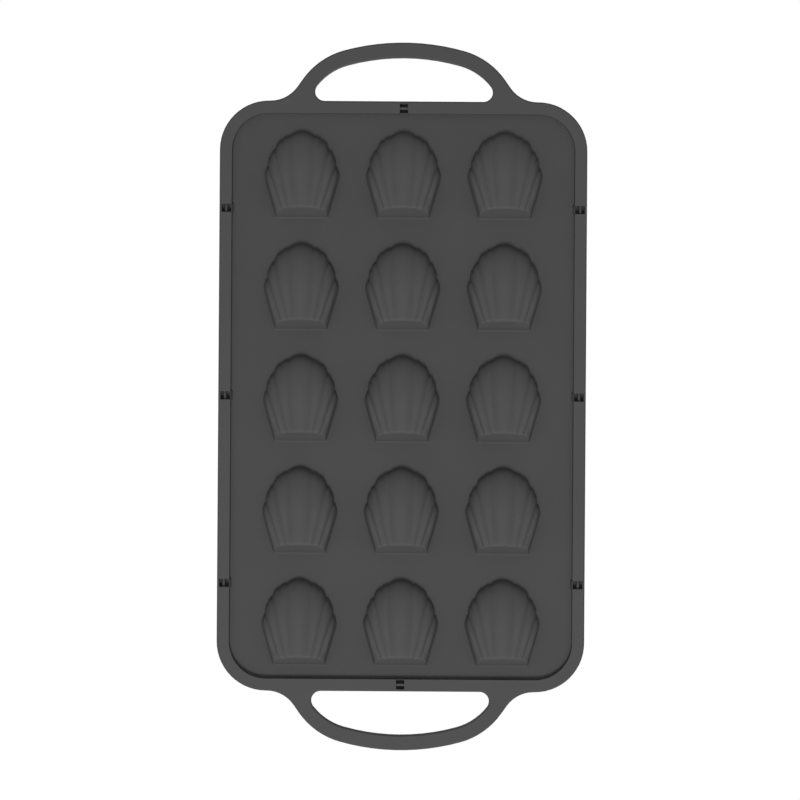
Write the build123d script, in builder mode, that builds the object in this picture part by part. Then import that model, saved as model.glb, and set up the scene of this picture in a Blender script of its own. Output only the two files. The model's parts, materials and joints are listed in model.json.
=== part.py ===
"""Madeleine pan: a silicone moulding with fifteen fluted shell cups, on a steel ring inside its rim.

The pan lies as it is used: cups open upward, long side along Y, base of the cups at Z = 0.
"""

import os
from math import asin, cos, pi, sin

from build123d import *

# Body and rim
body_width = 228.0
body_length = 366.0
corner_radius = 30.5
rim_width = 7.6
rim_thickness = 5.0
rim_edge_bevel = 0.8
web_thickness = 2.0
web_bevel = 1.8

# Handles: crown arc, shoulder arcs and a straight run down to the body
handle_reach = 36.5
handle_band = 9.4
handle_crown_radius = 140.0
handle_crown_half_angle = 15.5
handle_shoulder_radius = 46.0
handle_side_angle = 55.0
handle_opening_angle = 80.0
handle_root_fillet = 20.5
handle_opening_fillet = 6.0

# Shell cups, outside sizes below the web
cup_length = 56.0
cup_width = 48.0
cup_depth = 13.0
cup_wall = 1.5
cup_columns = 3
cup_rows = 5
cup_column_pitch = 63.0
cup_row_pitch = 69.4
cup_rear_slope = 27.0
nose_share = 0.76
nose_steps = 3
crest_share = 0.5
summit_share = 0.56

# Steel ring inside the rim, and the windows that show it
wire_diameter = 2.4
wire_flats = 8
wire_inset = 4.1
window_length = 5.0
window_width = 6.0
window_margin = 1.4
window_roof = 1.0
side_window_count = 3
side_window_pitch = 116.3
ramp_run = 3.5

# Half height of the band in which edges and corners are looked up
lookup_band = 0.01

rim_top = cup_depth + web_thickness
rim_underside = rim_top - rim_thickness
wire_height = rim_underside + rim_thickness / 2

# One half of the shell, from its middle flute to its side. Each row is the foot of a crest or a valley
# at the fluted end (share of half width, share of length), its foot at the flat end (share of half
# width) and its height (share of depth). Crests and valleys take turns and the last row is the side.
flute_lines = [
    (0.00, 1.000, 0.00, 1.00),
    (0.32, 0.933, 0.166, 0.885),
    (0.515, 0.875, 0.241, 0.955),
    (0.70, 0.744, 0.312, 0.83),
    (0.825, 0.660, 0.382, 0.83),
    (0.886, 0.550, 0.460, 0.625),
    (0.960, 0.505, 0.560, 0.56),
    (1.000, 0.445, 0.689, 0.03),
]
roundness = 0.2
plain_flanks = (3, 4, 5, 6)


def rounded_lines():
    """Flute lines with one more between each crest and valley, bulged outward so that flutes look round."""
    lines = [flute_lines[0]]
    for index, (near, far) in enumerate(zip(flute_lines, flute_lines[1:])):
        crest, valley = (near, far) if index % 2 == 0 else (far, near)
        if index in plain_flanks:
            lines.append(far)
            continue
        middle = [(a + b) / 2 for a, b in zip(near, far)]
        middle[0] += roundness / 2 * abs(crest[1] - valley[1])
        middle[1] += roundness / 2 * abs(crest[0] - valley[0])
        middle[3] += roundness * abs(crest[3] - valley[3])
        lines += [tuple(middle), far]
    return lines


def shell_form(length, width, depth):
    """Solid of one fluted shell. Its mouth is at Z = 0 and its foot line one web thickness below.

    Upright slices run from the fluted end to the flat end, one along each flute line: a straight rise
    through the web, a nose arc, a long arc to the summit and a level crest. They are lofted side by side.
    """
    half_width = width / 2
    overrun = cup_wall * 2
    foot = Plane.XY.offset(-web_thickness)
    with BuildPart() as form:
        for tip_x, tip_y, rear_x, height in rounded_lines():
            tip = Vector(tip_x * half_width, tip_y * length, foot.origin.Z)
            rear = Vector(rear_x * half_width, -overrun, foot.origin.Z)
            along = (rear - tip).normalized()
            run = (rear - tip).length
            rise = height * depth
            nose = nose_share * rise
            summit = summit_share * run
            crest_radius = ((summit - nose) ** 2 + rise**2 - nose**2) / (2 * (rise - nose))
            knee = asin((summit - nose) / (crest_radius - nose))
            nose_turns = [knee + (pi / 2 - knee) * (1 - step / nose_steps) for step in range(nose_steps + 1)]
            nose_points = [(nose * (1 - sin(turn)), nose * cos(turn)) for turn in nose_turns]
            crest_turn = knee * crest_share
            crest_fall = crest_radius * (1 - cos(crest_turn))
            crest_point = (summit - crest_radius * sin(crest_turn), rise - crest_fall)
            slice_plane = Plane(origin=tip, x_dir=along, z_dir=along.cross(Vector(0, 0, -1)))
            with BuildSketch(slice_plane):
                with BuildLine():
                    Polyline(*nose_points, crest_point, (summit, rise))
                    Polyline((summit, rise), (run, rise), (run, -web_thickness), (0, -web_thickness), (0, 0))
                make_face()
        loft(ruled=True)
        mirror(about=Plane.YZ)
        rear_wall = Plane(origin=(0, 0, foot.origin.Z), x_dir=(1, 0, 0), z_dir=(0, 1, 0))
        split(bisect_by=rear_wall.rotated((cup_rear_slope, 0, 0)), keep=Keep.TOP)
    return form.part


def centred(shape, length):
    """The shell with the middle of its outside length on the origin."""
    return shape.moved(Location((0, -length / 2, rim_top)))


shell_outside = centred(shell_form(cup_length, cup_width, cup_depth), cup_length)
shell_inside = centred(
    shell_form(cup_length - 2 * cup_wall, cup_width - 2 * cup_wall, cup_depth - cup_wall),
    cup_length - 2 * cup_wall,
)


def handle_face(inset, last_slope):
    """Face inside a handle's outer edge, moved in by an inset, down to the body's edge at Y = 0.

    A crown arc and two shoulder arcs that run on to the last slope, and then straight sides.
    """
    crown_centre = (0, handle_reach - handle_crown_radius)
    with BuildSketch() as sketch:
        with BuildLine():
            crown = CenterArc(crown_centre, handle_crown_radius - inset, 90, -handle_crown_half_angle)
            shoulder_turn = handle_crown_half_angle - last_slope
            shoulder = JernArc(crown @ 1, crown % 1, handle_shoulder_radius - inset, shoulder_turn)
            side = PolarLine(shoulder @ 1, corner_radius, -last_slope)
            mirror(about=Plane.YZ)
            Line(side @ 1, (-(side @ 1).X, (side @ 1).Y))
        make_face()
        split(bisect_by=Plane.XZ, keep=Keep.BOTTOM)
    return sketch.sketch


def rim_frame(inset):
    """Rounded rectangle that follows the body's edge, moved in by an inset."""
    with BuildSketch() as frame:
        RectangleRounded(body_width - 2 * inset, body_length - 2 * inset, corner_radius - inset)
    return frame.sketch


# Steel ring: round wire bent to follow the rim
wire_path = Plane.XY.offset(wire_height) * rim_frame(wire_inset).wire()
with BuildPart() as rim_wire:
    with BuildSketch(Plane(origin=wire_path @ 0, z_dir=wire_path % 0)):
        RegularPolygon(wire_diameter / 2, wire_flats)
    sweep(path=wire_path)

# Outline of the body with both handles, and the two hand openings
handle = handle_face(0, handle_side_angle)
with BuildSketch(Plane.XY.offset(rim_underside)) as outline:
    add(rim_frame(0))
    with Locations((0, body_length / 2)):
        add(handle)
    mirror(about=Plane.XZ)
    body_edge = outline.vertices().filter_by(lambda point: abs(abs(point.Y) - body_length / 2) < lookup_band)
    fillet(body_edge.sort_by(lambda point: abs(point.X))[:4], handle_root_fillet)

with BuildSketch() as hand_opening:
    add(handle_face(handle_band, handle_opening_angle))
    fillet(hand_opening.vertices().group_by(Axis.Y)[0], handle_opening_fillet)

with BuildSketch(Plane.XY.offset(rim_underside)) as hand_openings:
    with Locations((0, body_length / 2)):
        add(hand_opening.sketch)
    mirror(about=Plane.XZ)

# Where the windows stand on the body's edge: three along each long side and one in each short side.
# Each frame has its origin on the edge, X inward across the rim and Z downward.
side_middle = (side_window_count - 1) / 2
side_offsets = [side_window_pitch * (index - side_middle) for index in range(side_window_count)]
window_frames = [
    Location(Plane((side * body_width / 2, offset, rim_underside), x_dir=(-side, 0, 0), z_dir=(0, 0, -1)))
    for side in (-1, 1)
    for offset in side_offsets
] + [
    Location(Plane((0, end * body_length / 2, rim_underside), x_dir=(0, -end, 0), z_dir=(0, 0, -1)))
    for end in (-1, 1)
]

with BuildPart() as windows:
    with Locations(*window_frames):
        with Locations((window_margin + window_width / 2, 0, window_roof - rim_thickness)):
            Box(window_width, window_length, rim_thickness, align=(Align.CENTER, Align.CENTER, Align.MIN))

# Ramps behind the windows, from the rim's face down to the web
step_height = rim_thickness - web_thickness
with BuildPart() as ramp:
    with BuildSketch(Plane.XZ.offset(-window_length / 2)):
        with BuildLine():
            Polyline(
                (rim_width - rim_edge_bevel, -step_height),
                (rim_width - rim_edge_bevel, 0),
                (rim_width, 0),
                (rim_width + ramp_run, -step_height),
                close=True,
            )
        make_face()
    extrude(amount=window_length)
with BuildPart() as ramps:
    with Locations(*window_frames):
        add(ramp.part)

with BuildPart() as silicone_moulding:
    add(outline.sketch)
    extrude(amount=rim_thickness)
    add(hand_openings.sketch)
    extrude(amount=rim_thickness, mode=Mode.SUBTRACT)
    chamfer(faces().filter_by(Plane.XY).edges(), rim_edge_bevel)
    with BuildSketch(Plane.XY.offset(rim_underside)):
        add(rim_frame(rim_width))
    extrude(amount=rim_thickness - web_thickness, mode=Mode.SUBTRACT)
    web_level = rim_top - web_thickness
    web_edges = edges().filter_by_position(Axis.Z, web_level - lookup_band, web_level + lookup_band)
    chamfer(web_edges, web_bevel)
    add(ramps.part)
    with GridLocations(cup_column_pitch, cup_row_pitch, cup_columns, cup_rows):
        add(shell_outside, clean=False)
    with GridLocations(cup_column_pitch, cup_row_pitch, cup_columns, cup_rows):
        add(shell_inside, clean=False, mode=Mode.SUBTRACT)
    add(windows.part, mode=Mode.SUBTRACT)
    add(rim_wire.part, mode=Mode.SUBTRACT)

silicone_moulding.part.label = "silicone_moulding"
rim_wire.part.label = "rim_wire"

os.makedirs("parts", exist_ok=True)
export_step(silicone_moulding.part, "parts/silicone_moulding.step")
export_step(rim_wire.part, "parts/rim_wire.step")
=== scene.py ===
"""Madeleine pan: the looks of its silicone moulding and of the steel ring inside its rim.

The pan lies as it is used, with its shell cups open upward. The main camera looks up at its underside,
as the photograph does, and the floor shows from above only.
"""

import json
import logging
import math
from dataclasses import astuple, dataclass, field, replace
from enum import Enum

import bmesh
import bpy
from mathutils import Matrix, Vector

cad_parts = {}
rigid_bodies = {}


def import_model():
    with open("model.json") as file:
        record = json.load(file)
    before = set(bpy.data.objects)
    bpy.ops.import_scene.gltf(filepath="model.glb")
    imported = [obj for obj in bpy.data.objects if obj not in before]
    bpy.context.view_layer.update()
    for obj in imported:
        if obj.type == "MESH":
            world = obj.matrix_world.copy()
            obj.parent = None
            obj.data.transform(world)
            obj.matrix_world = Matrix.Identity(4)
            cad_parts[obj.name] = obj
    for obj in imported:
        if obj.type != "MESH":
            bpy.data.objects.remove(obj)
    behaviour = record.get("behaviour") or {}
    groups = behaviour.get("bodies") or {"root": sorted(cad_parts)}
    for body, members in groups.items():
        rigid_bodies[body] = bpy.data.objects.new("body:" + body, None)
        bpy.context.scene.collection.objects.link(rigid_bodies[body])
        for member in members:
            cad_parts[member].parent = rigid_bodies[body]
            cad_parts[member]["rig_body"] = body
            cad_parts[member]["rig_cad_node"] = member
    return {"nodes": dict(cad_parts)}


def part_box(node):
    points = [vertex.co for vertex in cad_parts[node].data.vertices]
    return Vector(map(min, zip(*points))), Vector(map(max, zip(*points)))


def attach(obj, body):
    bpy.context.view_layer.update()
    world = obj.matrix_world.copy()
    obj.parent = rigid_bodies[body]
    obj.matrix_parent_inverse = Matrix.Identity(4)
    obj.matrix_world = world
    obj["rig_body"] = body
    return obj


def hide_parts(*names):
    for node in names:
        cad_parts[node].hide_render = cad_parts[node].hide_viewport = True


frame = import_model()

MILLIMETRE = 0.001
HALF_TURN = math.pi
QUARTER_TURN = math.pi / 2

# Vertices nearer to each other than this are one.
WELD_DISTANCE = 0.01 * MILLIMETRE

# Middle of a cloudy pattern's values.
PATTERN_MIDDLE = 0.5

# Numbers of the Mix node's colour sockets, whose names its value and vector sockets share.
MIX_COLOUR_RESULT = 2
MIX_COLOUR_LOW = 6
MIX_COLOUR_HIGH = 7

logging.basicConfig(level=logging.INFO, format="%(name)s: %(message)s")
log = logging.getLogger("madeleine_pan")


class Side(Enum):
    """Sides of the pan that a lamp can light."""

    UNDERSIDE = -1
    UPPER = 1


class Socket:
    """A shader value that can be used in ordinary sums."""

    def __init__(self, palette: "Palette", link: bpy.types.NodeSocket) -> None:
        """Wrap one output.

        Args:
            palette: Material whose nodes the sums are added to.
            link: Output socket that holds the value.
        """
        self.palette = palette
        self.link = link

    def _maths(self, operation: str, other: "Socket | float") -> "Socket":
        """Add one Math node with this value on its left.

        Args:
            operation: Name of the node's operation.
            other: Right-hand value.

        Returns:
            The result as a new socket.
        """
        return self.palette.node("ShaderNodeMath", {"operation": operation}, {0: self, 1: other})

    def __add__(self, other: "Socket | float") -> "Socket":
        """Sum of two values."""
        return self._maths("ADD", other)

    __radd__ = __add__

    def __sub__(self, other: "Socket | float") -> "Socket":
        """Difference of two values."""
        return self._maths("SUBTRACT", other)

    def __mul__(self, other: "Socket | float") -> "Socket":
        """Product of two values."""
        return self._maths("MULTIPLY", other)


@dataclass(frozen=True)
class Pattern:
    """A cloudy pattern: the size of one cloud, the number of finer layers and how far it is moved."""

    cloud_mm: float
    layers: float
    shift: float = 0.0


@dataclass
class Palette:
    """One procedural material and the nodes that it is made of.

    layer_strength says how much of a pattern's strength each finer layer keeps.
    """

    name: str
    layer_strength: float = 0.55
    material: bpy.types.Material = field(init=False)
    tree: bpy.types.NodeTree = field(init=False)
    output: bpy.types.Node = field(init=False)

    def __post_init__(self) -> None:
        """Start the material with nothing but its output."""
        self.material = bpy.data.materials.new(self.name)
        self.material.use_nodes = True
        self.tree = self.material.node_tree
        self.tree.nodes.clear()
        self.output = self.tree.nodes.new("ShaderNodeOutputMaterial")

    def node(
        self,
        kind: str,
        settings: dict | None = None,
        values: dict | None = None,
        output: int | str = 0,
    ) -> Socket:
        """Add any node.

        Args:
            kind: Blender's name for the node type.
            settings: Properties of the node, which are set first.
            values: Values or sockets for its inputs, by name or number.
            output: Which output to give back.

        Returns:
            The chosen output.
        """
        made = self.tree.nodes.new(kind)
        for key, value in (settings or {}).items():
            setattr(made, key, value)
        for key, value in (values or {}).items():
            if isinstance(value, Socket):
                self.tree.links.new(value.link, made.inputs[key])
            else:
                made.inputs[key].default_value = value
        return Socket(self, made.outputs[output])

    def noise(self, place: Socket, pattern: Pattern) -> Socket:
        """Soft cloudy pattern between 0 and 1.

        Args:
            place: Coordinates to read.
            pattern: Which pattern to make.

        Returns:
            The pattern's value.
        """
        shift = (pattern.shift, pattern.shift, pattern.shift)
        moved = self.node("ShaderNodeMapping", None, {"Vector": place, "Location": shift})
        return self.node(
            "ShaderNodeTexNoise",
            None,
            {
                "Vector": moved,
                "Scale": 1 / (pattern.cloud_mm * MILLIMETRE),
                "Detail": pattern.layers,
                "Roughness": self.layer_strength,
            },
        )

    def place(self) -> Socket:
        """Object coordinates."""
        return self.node("ShaderNodeTexCoord", None, None, output="Object")

    def blend(self, mask: Socket, low: tuple, high: tuple) -> Socket:
        """Mix two colours.

        Args:
            mask: 0 gives the low colour and 1 the high one.
            low: First colour.
            high: Second colour.

        Returns:
            The mixed colour.
        """
        mixed = self.node("ShaderNodeMix", {"data_type": "RGBA"}, {"Factor": mask}, MIX_COLOUR_RESULT)
        inputs = mixed.link.node.inputs
        inputs[MIX_COLOUR_LOW].default_value = low
        inputs[MIX_COLOUR_HIGH].default_value = high
        return mixed

    def shader(self, values: dict) -> None:
        """Add the Principled shader and send it to the output.

        Args:
            values: Values or sockets for its inputs.
        """
        made = self.node("ShaderNodeBsdfPrincipled", None, values)
        self.tree.links.new(made.link, self.output.inputs["Surface"])


def grey(value: float, warmth: float = 0.0) -> tuple[float, float, float, float]:
    """Grey colour with a touch of warmth.

    Args:
        value: Linear brightness.
        warmth: Share by which red is lifted and blue lowered.

    Returns:
        Colour with full alpha.
    """
    return (value * (1 + warmth), value, value * (1 - warmth), 1.0)


@dataclass(frozen=True)
class SiliconeFinish:
    """Matt moulded silicone, dark grey, with a spark-eroded grain and a powdery bloom.

    Its colour is painted a little darker on the web than on the rim and the cups: painted shade for the
    shade that falls between the cups.
    """

    dark: float = 0.050
    light: float = 0.076
    shade_start: float = 0.35
    cloud_weight: float = 0.3
    bloom_weight: float = 0.15
    grain_weight: float = 0.05
    # Painted shade: heights where the colour starts and stops growing darker toward the web, and how
    # much darker it gets.
    painted_shade_start_mm: float = 8.2
    painted_shade_end_mm: float = 12.8
    painted_web_shade_amount: float = 0.40
    roughness: float = 0.68
    roughness_change: float = 0.10
    specular: float = 0.22
    clouds: Pattern = Pattern(38.0, 2.0)
    bloom: Pattern = Pattern(7.0, 4.0, 3.1)
    grain: Pattern = Pattern(0.55, 2.0, 7.7)
    grain_height_mm: float = 0.035
    grain_strength: float = 0.6
    edge_round_mm: float = 0.5
    edge_samples: int = 6

    def make(self) -> bpy.types.Material:
        """Build the material.

        Returns:
            The finished material.
        """
        palette = Palette("moulded_silicone")
        place = palette.place()
        clouds = palette.noise(place, self.clouds)
        bloom = palette.noise(place, self.bloom)
        grain = palette.noise(place, self.grain)
        height = palette.node("ShaderNodeSeparateXYZ", None, {0: place}, output="Z")
        # Painted shade: the colour darkens with height toward the web, standing in for the shade between
        # the cups.
        painted_web_shade = palette.node(
            "ShaderNodeMapRange",
            None,
            {
                "Value": height,
                "From Min": self.painted_shade_start_mm * MILLIMETRE,
                "From Max": self.painted_shade_end_mm * MILLIMETRE,
                "To Min": 0.0,
                "To Max": self.painted_web_shade_amount,
            },
        )
        shade = self.shade_start + clouds * self.cloud_weight + bloom * self.bloom_weight
        # The painted shade of the web is taken off the silicone's own tone here.
        shade = shade + grain * self.grain_weight - painted_web_shade
        edge_round = self.edge_round_mm * MILLIMETRE
        rounded = palette.node("ShaderNodeBevel", {"samples": self.edge_samples}, {"Radius": edge_round})
        relief = palette.node(
            "ShaderNodeBump",
            None,
            {
                "Height": grain,
                "Distance": self.grain_height_mm * MILLIMETRE,
                "Strength": self.grain_strength,
                "Normal": rounded,
            },
        )
        palette.shader(
            {
                "Base Color": palette.blend(shade, grey(self.dark), grey(self.light)),
                "Roughness": self.roughness + (bloom - PATTERN_MIDDLE) * self.roughness_change,
                "Specular IOR Level": self.specular,
                "Normal": relief,
            }
        )
        return palette.material


@dataclass(frozen=True)
class SteelFinish:
    """Drawn steel wire, dull dark grey, with fine die lines and blotches."""

    bright: float = 0.13
    bright_warmth: float = 0.01
    dull: float = 0.08
    dull_warmth: float = 0.02
    roughness: float = 0.72
    line_roughness: float = 0.2
    blotch_roughness: float = 0.15
    blotches: Pattern = Pattern(3.0, 4.0)
    lines: Pattern = Pattern(0.12, 1.0, 2.3)
    line_depth_mm: float = 0.01
    line_strength: float = 0.4

    def make(self) -> bpy.types.Material:
        """Build the material.

        Returns:
            The finished material.
        """
        palette = Palette("drawn_steel")
        place = palette.place()
        blotches = palette.noise(place, self.blotches)
        lines = palette.noise(place, self.lines)
        relief = palette.node(
            "ShaderNodeBump",
            None,
            {
                "Height": lines,
                "Distance": self.line_depth_mm * MILLIMETRE,
                "Strength": self.line_strength,
            },
        )
        dull, bright = grey(self.dull, self.dull_warmth), grey(self.bright, self.bright_warmth)
        line_change = (lines - PATTERN_MIDDLE) * self.line_roughness
        blotch_change = (blotches - PATTERN_MIDDLE) * self.blotch_roughness
        palette.shader(
            {
                "Base Color": palette.blend(blotches, dull, bright),
                "Metallic": 1.0,
                "Roughness": self.roughness + line_change + blotch_change,
                "Normal": relief,
            }
        )
        return palette.material


@dataclass(frozen=True)
class FloorFinish:
    """Plain pale floor that shows from above and lets the view from below pass."""

    brightness: float = 0.78
    mottling: float = 1.03
    mottle: Pattern = Pattern(60.0, 3.0)

    def make(self) -> bpy.types.Material:
        """Build the material.

        Returns:
            The finished material.
        """
        palette = Palette("pale_floor")
        mottle = palette.noise(palette.place(), self.mottle)
        colour = palette.blend(mottle, grey(self.brightness), grey(self.brightness * self.mottling))
        top = palette.node("ShaderNodeBsdfDiffuse", None, {"Color": colour})
        clear = palette.node("ShaderNodeBsdfTransparent")
        below = palette.node("ShaderNodeNewGeometry", None, None, output="Backfacing")
        seen = palette.node("ShaderNodeMixShader", None, {0: below, 1: top, 2: clear})
        palette.tree.links.new(seen.link, palette.output.inputs["Surface"])
        return palette.material


def deselect_all() -> None:
    """Leave no object selected and none active."""
    for item in list(bpy.context.selected_objects):
        item.select_set(False)
    bpy.context.view_layer.objects.active = None


def activate(item: bpy.types.Object) -> None:
    """Select one object alone and make it active.

    Args:
        item: Object to work on.
    """
    deselect_all()
    item.select_set(True)
    bpy.context.view_layer.objects.active = item


def paint(material: bpy.types.Material, *items: bpy.types.Object) -> None:
    """Give objects one material and no other.

    Args:
        material: The material.
        items: Objects that get it.
    """
    for item in items:
        item.data.materials.clear()
        item.data.materials.append(material)


def open_edge_count(item: bpy.types.Object) -> int:
    """Count the edges of a mesh that don't join exactly two faces.

    Args:
        item: Object to look at.

    Returns:
        Number of such edges, 0 for a closed mesh.
    """
    mesh = bmesh.new()
    mesh.from_mesh(item.data)
    count = sum(1 for edge in mesh.edges if len(edge.link_faces) != 2)
    mesh.free()
    return count


def lies_at(element: "bmesh.types.BMFace | bmesh.types.BMEdge", level: float) -> bool:
    """Tell whether a face or an edge lies flat at one height.

    Args:
        element: Face or edge to look at.
        level: The height, in metres.

    Returns:
        True if all its vertices are at the level.
    """
    return all(abs(vertex.co.z - level) < WELD_DISTANCE for vertex in element.verts)


def weigh_normals(piece: bpy.types.Object) -> None:
    """Let the large flat faces rule the normals beside them.

    Args:
        piece: The active object.
    """
    weighed = piece.modifiers.new("weighed_normals", "WEIGHTED_NORMAL")
    weighed.keep_sharp = True
    bpy.ops.object.modifier_apply(modifier=weighed.name)


@dataclass(frozen=True)
class FluteLine:
    """A crest, a valley or the side of one half of a shell.

    Its tip lies at the fluted end and its rear at the flat end. Distances across are shares of the
    cup's half width, those along shares of its length, and both heights shares of its depth.
    """

    tip_across: float
    tip_along: float
    rear_across: float
    summit: float
    rear: float

    def towards(self, other: "FluteLine", share: float) -> "FluteLine":
        """Mix this line with another.

        Args:
            other: Line at share 1.
            share: How far to go.

        Returns:
            The line between them.
        """
        return FluteLine(*(a + (b - a) * share for a, b in zip(astuple(self), astuple(other))))


def rounded_corner(start: Vector, corner: Vector, end: Vector, steps: int) -> list[Vector]:
    """Points of a quadratic Bezier curve that rounds a corner.

    Args:
        start: Where the curve leaves the first side.
        corner: The sharp corner.
        end: Where the curve joins the second side.
        steps: Number of its pieces.

    Returns:
        The points, both ends among them.
    """
    shares = [step / steps for step in range(steps + 1)]
    return [start * (1 - t) ** 2 + corner * 2 * t * (1 - t) + end * t**2 for t in shares]


@dataclass
class ShellCup:
    """One fluted shell cup: a domed fan of seven flutes that narrows to a leaning flat end.

    The lines run from the middle flute to the side. dome_start_limit and wall_share_limit keep the
    roundings small where a flute is low.
    """

    length_mm: float = 56.0
    width_mm: float = 48.0
    depth_mm: float = 13.0
    wall_mm: float = 1.5
    web_mm: float = 2.0
    rear_slope_degrees: float = 23.5
    summit_share: float = 0.56
    roundness: float = 0.24
    foot_round_mm: float = 1.0
    mouth_round_mm: float = 0.4
    rear_round_mm: float = 1.6
    dome_start_limit: float = 0.5
    wall_share_limit: float = 0.4
    flank_steps: int = 5
    corner_steps: int = 3
    dome_steps: int = 11
    level_steps: int = 3
    lines: tuple[FluteLine, ...] = (
        FluteLine(0.00, 0.950, 0.000, 1.000, 1.000),
        FluteLine(0.32, 0.897, 0.166, 0.885, 0.945),
        FluteLine(0.515, 0.850, 0.241, 0.955, 0.965),
        FluteLine(0.70, 0.738, 0.312, 0.840, 0.890),
        FluteLine(0.825, 0.660, 0.382, 0.875, 0.865),
        FluteLine(0.880, 0.550, 0.460, 0.700, 0.755),
        FluteLine(0.940, 0.505, 0.600, 0.630, 0.560),
        FluteLine(0.990, 0.445, 0.680, 0.000, 0.000),
    )

    def _half(self) -> list[FluteLine]:
        """Fill in lines between each crest and valley, so that the flutes are round.

        Returns:
            Lines from the middle flute to the side.
        """
        filled = [self.lines[0]]
        last = len(self.lines) - 2
        for index, (near, far) in enumerate(zip(self.lines, self.lines[1:])):
            spread = abs(near.tip_along - far.tip_along)
            for step in range(1, self.flank_steps + 1):
                share = step / self.flank_steps
                line = near.towards(far, share)
                if index == last:
                    # The outermost flank falls to the web in an S.
                    fallen = near.towards(far, share**2 * (3 - 2 * share))
                    line = replace(line, summit=fallen.summit, rear=fallen.rear)
                else:
                    # The other flanks bulge outward, most of all in their middle.
                    bulge = 4 * share * (1 - share) * self.roundness
                    line = replace(
                        line,
                        tip_across=line.tip_across + bulge / 2 * spread,
                        tip_along=line.tip_along + bulge * spread,
                        summit=line.summit + bulge * abs(near.summit - far.summit),
                        rear=line.rear + bulge * abs(near.rear - far.rear),
                    )
                filled.append(line)
        return filled

    def _wall_share(self, wall: float, rounding: float) -> float:
        """Find how much of the rear wall a rounding takes.

        Args:
            wall: Length of the rear wall, in millimetres.
            rounding: Size of the rounding, in millimetres.

        Returns:
            Share of the wall, within the limit.
        """
        return min(self.wall_share_limit, rounding / max(wall, rounding))

    def _slice(self, line: FluteLine, inset: float, depth: float, rounding: float) -> list[Vector]:
        """Points along one line: rounding, dome, level crest, rounded edge, rear wall and rounding.

        Args:
            line: Line to follow.
            inset: How far the outline is moved in, in millimetres.
            depth: Depth of the middle flute, in millimetres.
            rounding: Size of the roundings where the surface meets the web, in millimetres.

        Returns:
            Points in millimetres from the cup's middle, with Z as the depth below the mouth.
        """
        length, half_width = self.length_mm - 2 * inset, self.width_mm / 2 - inset
        tip = Vector((line.tip_across * half_width, (line.tip_along - 0.5) * length))
        rear = Vector((line.rear_across * half_width, -length / 2))
        run = (rear - tip).length
        along = (rear - tip) / run
        rise, rear_rise = line.summit * depth, line.rear * depth
        summit = self.summit_share * run
        lean = rear_rise * math.tan(math.radians(self.rear_slope_degrees))
        edge = Vector((run * (1 - lean / (tip.y + length / 2)), rear_rise))
        foot = Vector((run, 0))
        wall = foot - edge
        start = math.asin(min(self.dome_start_limit, rounding / max(rise, rounding)))
        climb = (QUARTER_TURN - start) / self.dome_steps
        turns = [start + climb * step for step in range(self.dome_steps + 1)]
        dome = [Vector((summit * (1 - math.cos(turn)), rise * math.sin(turn))) for turn in turns]
        before_edge = edge + (dome[-1] - edge).normalized() * self.rear_round_mm
        after_edge = edge + wall * self._wall_share(wall.length, self.rear_round_mm)
        before_foot = foot - wall * self._wall_share(wall.length, rounding)
        points = rounded_corner(Vector((-rounding, 0)), Vector((0, 0)), dome[0], self.corner_steps)
        points += dome[1:]
        level_shares = [step / self.level_steps for step in range(1, self.level_steps)]
        points += [dome[-1].lerp(before_edge, share) for share in level_shares]
        points += rounded_corner(before_edge, edge, after_edge, self.corner_steps)
        points.append(after_edge.lerp(before_foot, 0.5))
        points += rounded_corner(before_foot, foot, Vector((run + rounding, 0)), self.corner_steps)
        return [(tip + along * point.x).to_3d() + Vector((0, 0, point.y)) for point in points]

    def _surface(self, level: float, inset: float, depth: float, rounding: float) -> bpy.types.Object:
        """Shape a grid into one side of the cup's wall.

        Args:
            level: Height of its mouth, in metres.
            inset: How far the outline is moved in, in millimetres.
            depth: Depth of the middle flute, in millimetres.
            rounding: Size of the roundings where the surface meets the web, in millimetres.

        Returns:
            The shaped surface round the origin, with its edge at the level.
        """
        slices = [self._slice(line, inset, depth, rounding) for line in self._half()]
        half_columns, rows = len(slices) - 1, len(slices[0]) - 1
        deselect_all()
        bpy.ops.mesh.primitive_grid_add(x_subdivisions=2 * half_columns, y_subdivisions=rows, size=1)
        surface = bpy.context.active_object
        for vertex in surface.data.vertices:
            column = round(vertex.co.x * 2 * half_columns)
            row = round((0.5 - vertex.co.y) * rows)
            point = slices[abs(column)][row]
            vertex.co = (
                math.copysign(point.x, column) * MILLIMETRE,
                point.y * MILLIMETRE,
                level - point.z * MILLIMETRE,
            )
        return surface

    def build(self, rim_top: float) -> bpy.types.Object:
        """Make the outer and the inner surface of one cup.

        Args:
            rim_top: Height of the web's upper face, in metres.

        Returns:
            Both surfaces as one open piece round the origin.
        """
        outer = self._surface(rim_top - self.web_mm * MILLIMETRE, 0.0, self.depth_mm, self.foot_round_mm)
        inner_depth = self.depth_mm + self.web_mm - self.wall_mm
        inner = self._surface(rim_top, self.wall_mm, inner_depth, self.mouth_round_mm)
        activate(outer)
        inner.select_set(True)
        bpy.ops.object.join()
        outer.name = "shell_cup"
        return outer


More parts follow.
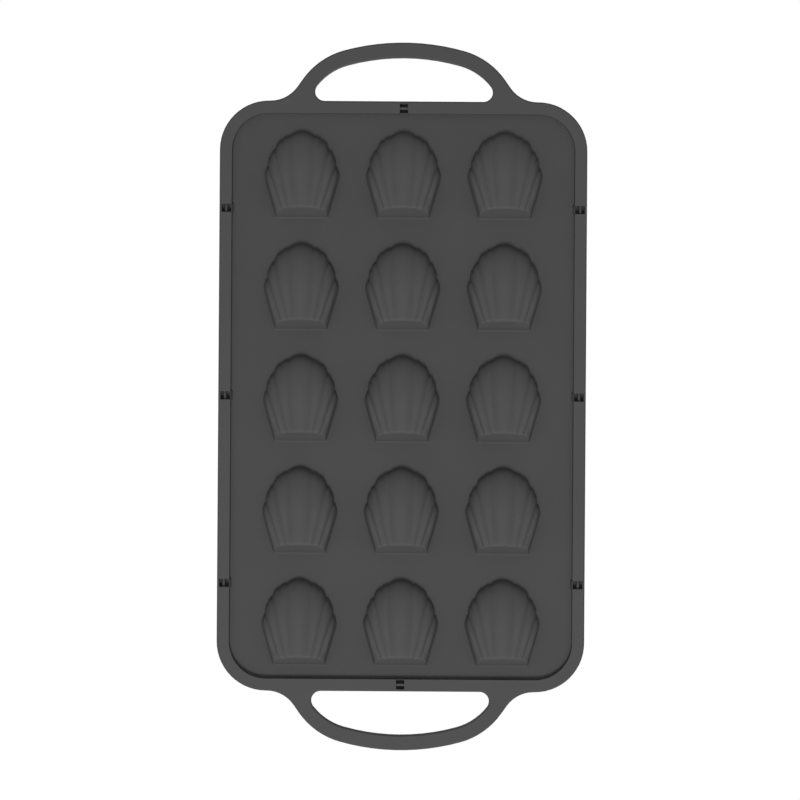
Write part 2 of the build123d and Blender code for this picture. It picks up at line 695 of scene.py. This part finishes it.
@dataclass
class Moulding:
    """The silicone moulding: web, rim, fifteen shell cups and two handles in one piece.

    step_inset_mm says how far the foot of the rim's inner bevel lies inside the steel ring's outside,
    step_corner_mm is its corner radius, and the feet of the ramps lie ramp_reach_mm further in. The
    two shifts say how far these feet are drawn outward.
    """

    node: str = "silicone_moulding"
    ring_node: str = "rim_wire"
    step_inset_mm: float = 6.5
    step_corner_mm: float = 21.1
    step_shift_mm: float = 1.4
    ramp_reach_mm: float = 1.7
    ramp_shift_mm: float = 2.2
    crease_degrees: float = 34.0
    columns: int = 3
    rows: int = 5
    column_pitch_mm: float = 63.0
    row_pitch_mm: float = 69.4
    cup: ShellCup = field(default_factory=ShellCup)
    finish: SiliconeFinish = field(default_factory=SiliconeFinish)

    def build(self) -> bpy.types.Object:
        """Weld a copy of the solid, give it round cups in place of the plain ones and close its web.

        Returns:
            The finished piece.
        """
        source = frame["nodes"][self.node]
        rim_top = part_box(self.node)[1].z
        web_bottom = rim_top - self.cup.web_mm * MILLIMETRE
        activate(source)
        bpy.ops.object.duplicate()
        piece = bpy.context.view_layer.objects.active
        piece.name = "silicone_skin"
        # The copy is a piece of its own, so it drops the solid's marks.
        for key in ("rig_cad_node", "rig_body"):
            if key in piece:
                del piece[key]
        activate(piece)
        bpy.ops.object.mode_set(mode="EDIT")
        bpy.ops.mesh.select_all(action="SELECT")
        bpy.ops.mesh.customdata_custom_splitnormals_clear()
        bpy.ops.mesh.remove_doubles(threshold=WELD_DISTANCE)
        self._clear_cups(piece, rim_top, web_bottom)
        self._steepen_step(piece, web_bottom)
        bpy.ops.object.mode_set(mode="OBJECT")
        cups = self._lay_out_cups(rim_top)
        activate(piece)
        for cup in cups:
            cup.select_set(True)
        bpy.ops.object.join()
        bpy.ops.object.mode_set(mode="EDIT")
        bpy.ops.mesh.select_all(action="SELECT")
        bpy.ops.mesh.remove_doubles(threshold=WELD_DISTANCE)
        for level in (rim_top, web_bottom):
            self._close_web(piece, level)
        bpy.ops.mesh.select_all(action="SELECT")
        bpy.ops.mesh.normals_make_consistent(inside=False)
        bpy.ops.object.mode_set(mode="OBJECT")
        bpy.ops.object.shade_smooth_by_angle(angle=math.radians(self.crease_degrees))
        weigh_normals(piece)
        return piece

    def _clear_cups(self, piece: bpy.types.Object, rim_top: float, web_bottom: float) -> None:
        """Take away the plain cups and the two faces of the web that carry them.

        Args:
            piece: The welded copy, in edit mode.
            rim_top: Height of the web's upper face, in metres.
            web_bottom: Height of its lower face, in metres.
        """
        reach_x = ((self.columns - 1) * self.column_pitch_mm + self.cup.width_mm) / 2 * MILLIMETRE
        reach_y = ((self.rows - 1) * self.row_pitch_mm + self.cup.length_mm) / 2 * MILLIMETRE
        bpy.ops.mesh.select_mode(type="FACE")
        mesh = bmesh.from_edit_mesh(piece.data)
        for face in mesh.faces:
            middle = face.calc_center_median()
            in_width = abs(middle.x) < reach_x + WELD_DISTANCE
            in_length = abs(middle.y) < reach_y + WELD_DISTANCE
            on_web = lies_at(face, rim_top) or lies_at(face, web_bottom)
            face.select_set(on_web or (in_width and in_length))
        bmesh.update_edit_mesh(piece.data)
        bpy.ops.mesh.delete(type="FACE")

    def _steepen_step(self, piece: bpy.types.Object, web_bottom: float) -> None:
        """Draw the feet of the rim's inner bevel and of the ramps outward, so that both are steep.

        Args:
            piece: The welded copy, in edit mode.
            web_bottom: Height of the web's lower face, in metres.
        """
        ring_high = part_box(self.ring_node)[1]
        corner = self.step_corner_mm * MILLIMETRE
        inset = self.step_inset_mm * MILLIMETRE + corner
        shift = self.step_shift_mm * MILLIMETRE
        ramp_foot = corner - self.ramp_reach_mm * MILLIMETRE
        ramp_shift = self.ramp_shift_mm * MILLIMETRE
        core = Vector((ring_high.x - inset, ring_high.y - inset))
        mesh = bmesh.from_edit_mesh(piece.data)
        for vertex in mesh.verts:
            if abs(vertex.co.z - web_bottom) > WELD_DISTANCE:
                continue
            nearest_x = max(-core.x, min(core.x, vertex.co.x))
            nearest_y = max(-core.y, min(core.y, vertex.co.y))
            outward = vertex.co.xy - Vector((nearest_x, nearest_y))
            if abs(outward.length - corner) < WELD_DISTANCE:
                vertex.co.xy += outward.normalized() * shift
            elif abs(outward.length - ramp_foot) < WELD_DISTANCE:
                vertex.co.xy += outward.normalized() * ramp_shift
        bmesh.update_edit_mesh(piece.data)

    def _lay_out_cups(self, rim_top: float) -> list[bpy.types.Object]:
        """Model one cup and copy it to every place.

        Args:
            rim_top: Height of the web's upper face, in metres.

        Returns:
            The cups, each with its own mesh.
        """
        first = self.cup.build(rim_top)
        cups = []
        for column in range(self.columns):
            for row in range(self.rows):
                across = (column - (self.columns - 1) / 2) * self.column_pitch_mm * MILLIMETRE
                along = (row - (self.rows - 1) / 2) * self.row_pitch_mm * MILLIMETRE
                activate(first)
                bpy.ops.object.duplicate()
                cup = bpy.context.view_layer.objects.active
                cup.location = (across, along, 0)
                bpy.ops.object.transform_apply(location=True, rotation=False, scale=False)
                cups.append(cup)
        activate(first)
        bpy.ops.object.delete()
        return cups

    def _close_web(self, piece: bpy.types.Object, level: float) -> None:
        """Fill one face of the web between the rim and the cups.

        Args:
            piece: The joined moulding, in edit mode.
            level: Height of the face, in metres.
        """
        bpy.ops.mesh.select_all(action="DESELECT")
        bpy.ops.mesh.select_mode(type="EDGE")
        mesh = bmesh.from_edit_mesh(piece.data)
        for edge in mesh.edges:
            edge.select_set(edge.is_boundary and lies_at(edge, level))
        bmesh.update_edit_mesh(piece.data)
        bpy.ops.mesh.fill(use_beauty=True)

    def dress(self, piece: bpy.types.Object) -> None:
        """Give the piece its finish and let it stand for its solid.

        Args:
            piece: The finished skin.
        """
        paint(self.finish.make(), piece, frame["nodes"][self.node])
        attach(piece, "root")
        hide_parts(self.node)
        faces, open_edges = len(piece.data.polygons), open_edge_count(piece)
        log.info("%s has %d faces and %d open edges", piece.name, faces, open_edges)


@dataclass
class SteelRing:
    """The round wire that runs inside the rim and shows in its eight windows."""

    node: str = "rim_wire"
    wire_mm: float = 2.4
    corner_mm: float = 26.4
    sides: int = 20
    corner_steps: int = 14
    finish: SteelFinish = field(default_factory=SteelFinish)

    def build(self) -> bpy.types.Object:
        """Model the ring: a circle drawn out along each side and spun round each corner.

        Returns:
            The finished piece.
        """
        low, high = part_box(self.node)
        radius = self.wire_mm * MILLIMETRE / 2
        corner = self.corner_mm * MILLIMETRE
        half_x = (high.x - low.x) / 2 - radius
        half_y = (high.y - low.y) / 2 - radius
        height = (low.z + high.z) / 2
        deselect_all()
        bpy.ops.mesh.primitive_circle_add(
            vertices=self.sides,
            radius=radius,
            location=(half_x, corner - half_y, height),
            rotation=(QUARTER_TURN, 0, 0),
        )
        piece = bpy.context.active_object
        piece.name = "steel_ring"
        bpy.ops.object.transform_apply(location=True, rotation=True, scale=True)
        bpy.ops.object.mode_set(mode="EDIT")
        bpy.ops.mesh.select_all(action="SELECT")
        run_x, run_y = 2 * (half_x - corner), 2 * (half_y - corner)
        runs = [(0, run_y), (-run_x, 0), (0, -run_y), (run_x, 0)]
        corners = [(1, 1), (-1, 1), (-1, -1), (1, -1)]
        for (along_x, along_y), (side_x, side_y) in zip(runs, corners):
            bpy.ops.mesh.extrude_region_move(TRANSFORM_OT_translate={"value": (along_x, along_y, 0)})
            centre = (side_x * (half_x - corner), side_y * (half_y - corner), height)
            bpy.ops.mesh.spin(
                steps=self.corner_steps, angle=-QUARTER_TURN, center=centre, axis=(0, 0, 1)
            )
        bpy.ops.mesh.select_all(action="SELECT")
        bpy.ops.mesh.remove_doubles(threshold=WELD_DISTANCE)
        bpy.ops.mesh.normals_make_consistent(inside=False)
        bpy.ops.object.mode_set(mode="OBJECT")
        bpy.ops.object.shade_smooth()
        return piece

    def dress(self, piece: bpy.types.Object) -> None:
        """Give the ring its finish and let it stand for its solid.

        Args:
            piece: The modelled ring.
        """
        paint(self.finish.make(), piece, frame["nodes"][self.node])
        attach(piece, "root")
        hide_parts(self.node)
        log.info("%s has %d faces", piece.name, len(piece.data.polygons))


@dataclass(frozen=True)
class Softbox:
    """One square lamp aimed at the pan."""

    name: str
    side: Side
    across: float
    along: float
    away: float
    size: float
    power: float

    def place(self) -> None:
        """Put the lamp up and aim it at the middle of the pan."""
        data = bpy.data.lights.new(self.name, "AREA")
        data.shape = "SQUARE"
        data.size = self.size
        data.energy = self.power
        lamp = bpy.data.objects.new(self.name, data)
        bpy.context.scene.collection.objects.link(lamp)
        spot = Vector((self.across, self.along, self.side.value * self.away))
        lamp.matrix_world = Matrix.LocRotScale(spot, (-spot).to_track_quat("-Z", "Y"), None)


@dataclass
class Studio:
    """Floor, lamps, surroundings and camera."""

    photo_pixels: int = 800
    pixel_mm: float = 0.62
    rim_height_mm: float = 10.0
    camera_distance: float = 1.6
    pan_middle_px: tuple[float, float] = (402.0, 396.4)
    roll_degrees: float = 0.38
    sensor_mm: float = 36.0
    floor_size: float = 6.0
    surroundings: float = 0.60
    horizon: float = 0.44
    backdrop: float = 1.0
    lamps: tuple[Softbox, ...] = (
        Softbox("low_key", Side.UNDERSIDE, across=0.2, along=-2.6, away=3.5, size=1.4, power=124.0),
        Softbox("high_key", Side.UPPER, across=-0.9, along=-1.1, away=1.5, size=0.9, power=30.0),
        Softbox("high_fill", Side.UPPER, across=1.2, along=0.7, away=1.4, size=1.2, power=12.0),
    )
    finish: FloorFinish = field(default_factory=FloorFinish)

    def lay_floor(self) -> None:
        """Lay the pale floor under the cups."""
        deselect_all()
        bpy.ops.mesh.primitive_plane_add(size=self.floor_size, location=(0, 0, 0))
        floor = bpy.context.active_object
        floor.name = "floor"
        floor.data.materials.append(self.finish.make())
        floor.visible_shadow = False
        floor.visible_diffuse = False
        floor.visible_glossy = False

    def light(self) -> None:
        """Place the lamps and the surroundings, which light most from straight above and below.

        The camera sees the surroundings as pure white.
        """
        for lamp in self.lamps:
            lamp.place()
        world = bpy.data.worlds.new("white_surround")
        bpy.context.scene.world = world
        bpy.context.scene.view_settings.view_transform = "Standard"
        world.use_nodes = True
        nodes, links = world.node_tree.nodes, world.node_tree.links
        nodes.clear()
        output = nodes.new("ShaderNodeOutputWorld")
        glow = nodes.new("ShaderNodeBackground")
        glow.inputs["Color"].default_value = grey(1.0)
        facing = nodes.new("ShaderNodeTexCoord")
        split = nodes.new("ShaderNodeSeparateXYZ")
        links.new(facing.outputs["Generated"], split.inputs[0])
        upright = nodes.new("ShaderNodeMath")
        upright.operation = "ABSOLUTE"
        links.new(split.outputs["Z"], upright.inputs[0])
        ambient = nodes.new("ShaderNodeMapRange")
        ambient.inputs["To Min"].default_value = self.horizon
        ambient.inputs["To Max"].default_value = self.surroundings
        links.new(upright.outputs[0], ambient.inputs["Value"])
        seen = nodes.new("ShaderNodeLightPath")
        strength = nodes.new("ShaderNodeMix")
        strength.inputs["B"].default_value = self.backdrop
        links.new(ambient.outputs[0], strength.inputs["A"])
        links.new(seen.outputs["Is Camera Ray"], strength.inputs["Factor"])
        links.new(strength.outputs["Result"], glow.inputs["Strength"])
        links.new(glow.outputs["Background"], output.inputs["Surface"])

    def set_camera(self) -> None:
        """Look up at the underside from the photograph's place."""
        data = bpy.data.cameras.new("photo_camera")
        data.sensor_width = self.sensor_mm
        field_width = self.photo_pixels * self.pixel_mm * MILLIMETRE
        data.lens = self.sensor_mm * self.camera_distance / field_width
        camera = bpy.data.objects.new("photo_camera", data)
        bpy.context.scene.collection.objects.link(camera)
        middle = self.photo_pixels / 2
        aim_x = (self.pan_middle_px[0] - middle) * self.pixel_mm * MILLIMETRE
        aim_y = (self.pan_middle_px[1] - middle) * self.pixel_mm * MILLIMETRE
        height = self.rim_height_mm * MILLIMETRE - self.camera_distance
        roll = Matrix.Rotation(math.radians(self.roll_degrees), 4, "Z")
        turn = Matrix.Rotation(HALF_TURN, 4, "Y") @ roll
        camera.matrix_world = Matrix.Translation((aim_x, aim_y, height)) @ turn
        bpy.context.scene.camera = camera


def main() -> None:
    """Build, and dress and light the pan."""
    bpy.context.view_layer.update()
    for part in (Moulding(), SteelRing()):
        part.dress(part.build())
    studio = Studio()
    studio.lay_floor()
    studio.light()
    studio.set_camera()
    deselect_all()


if __name__ == "__main__":
    main()
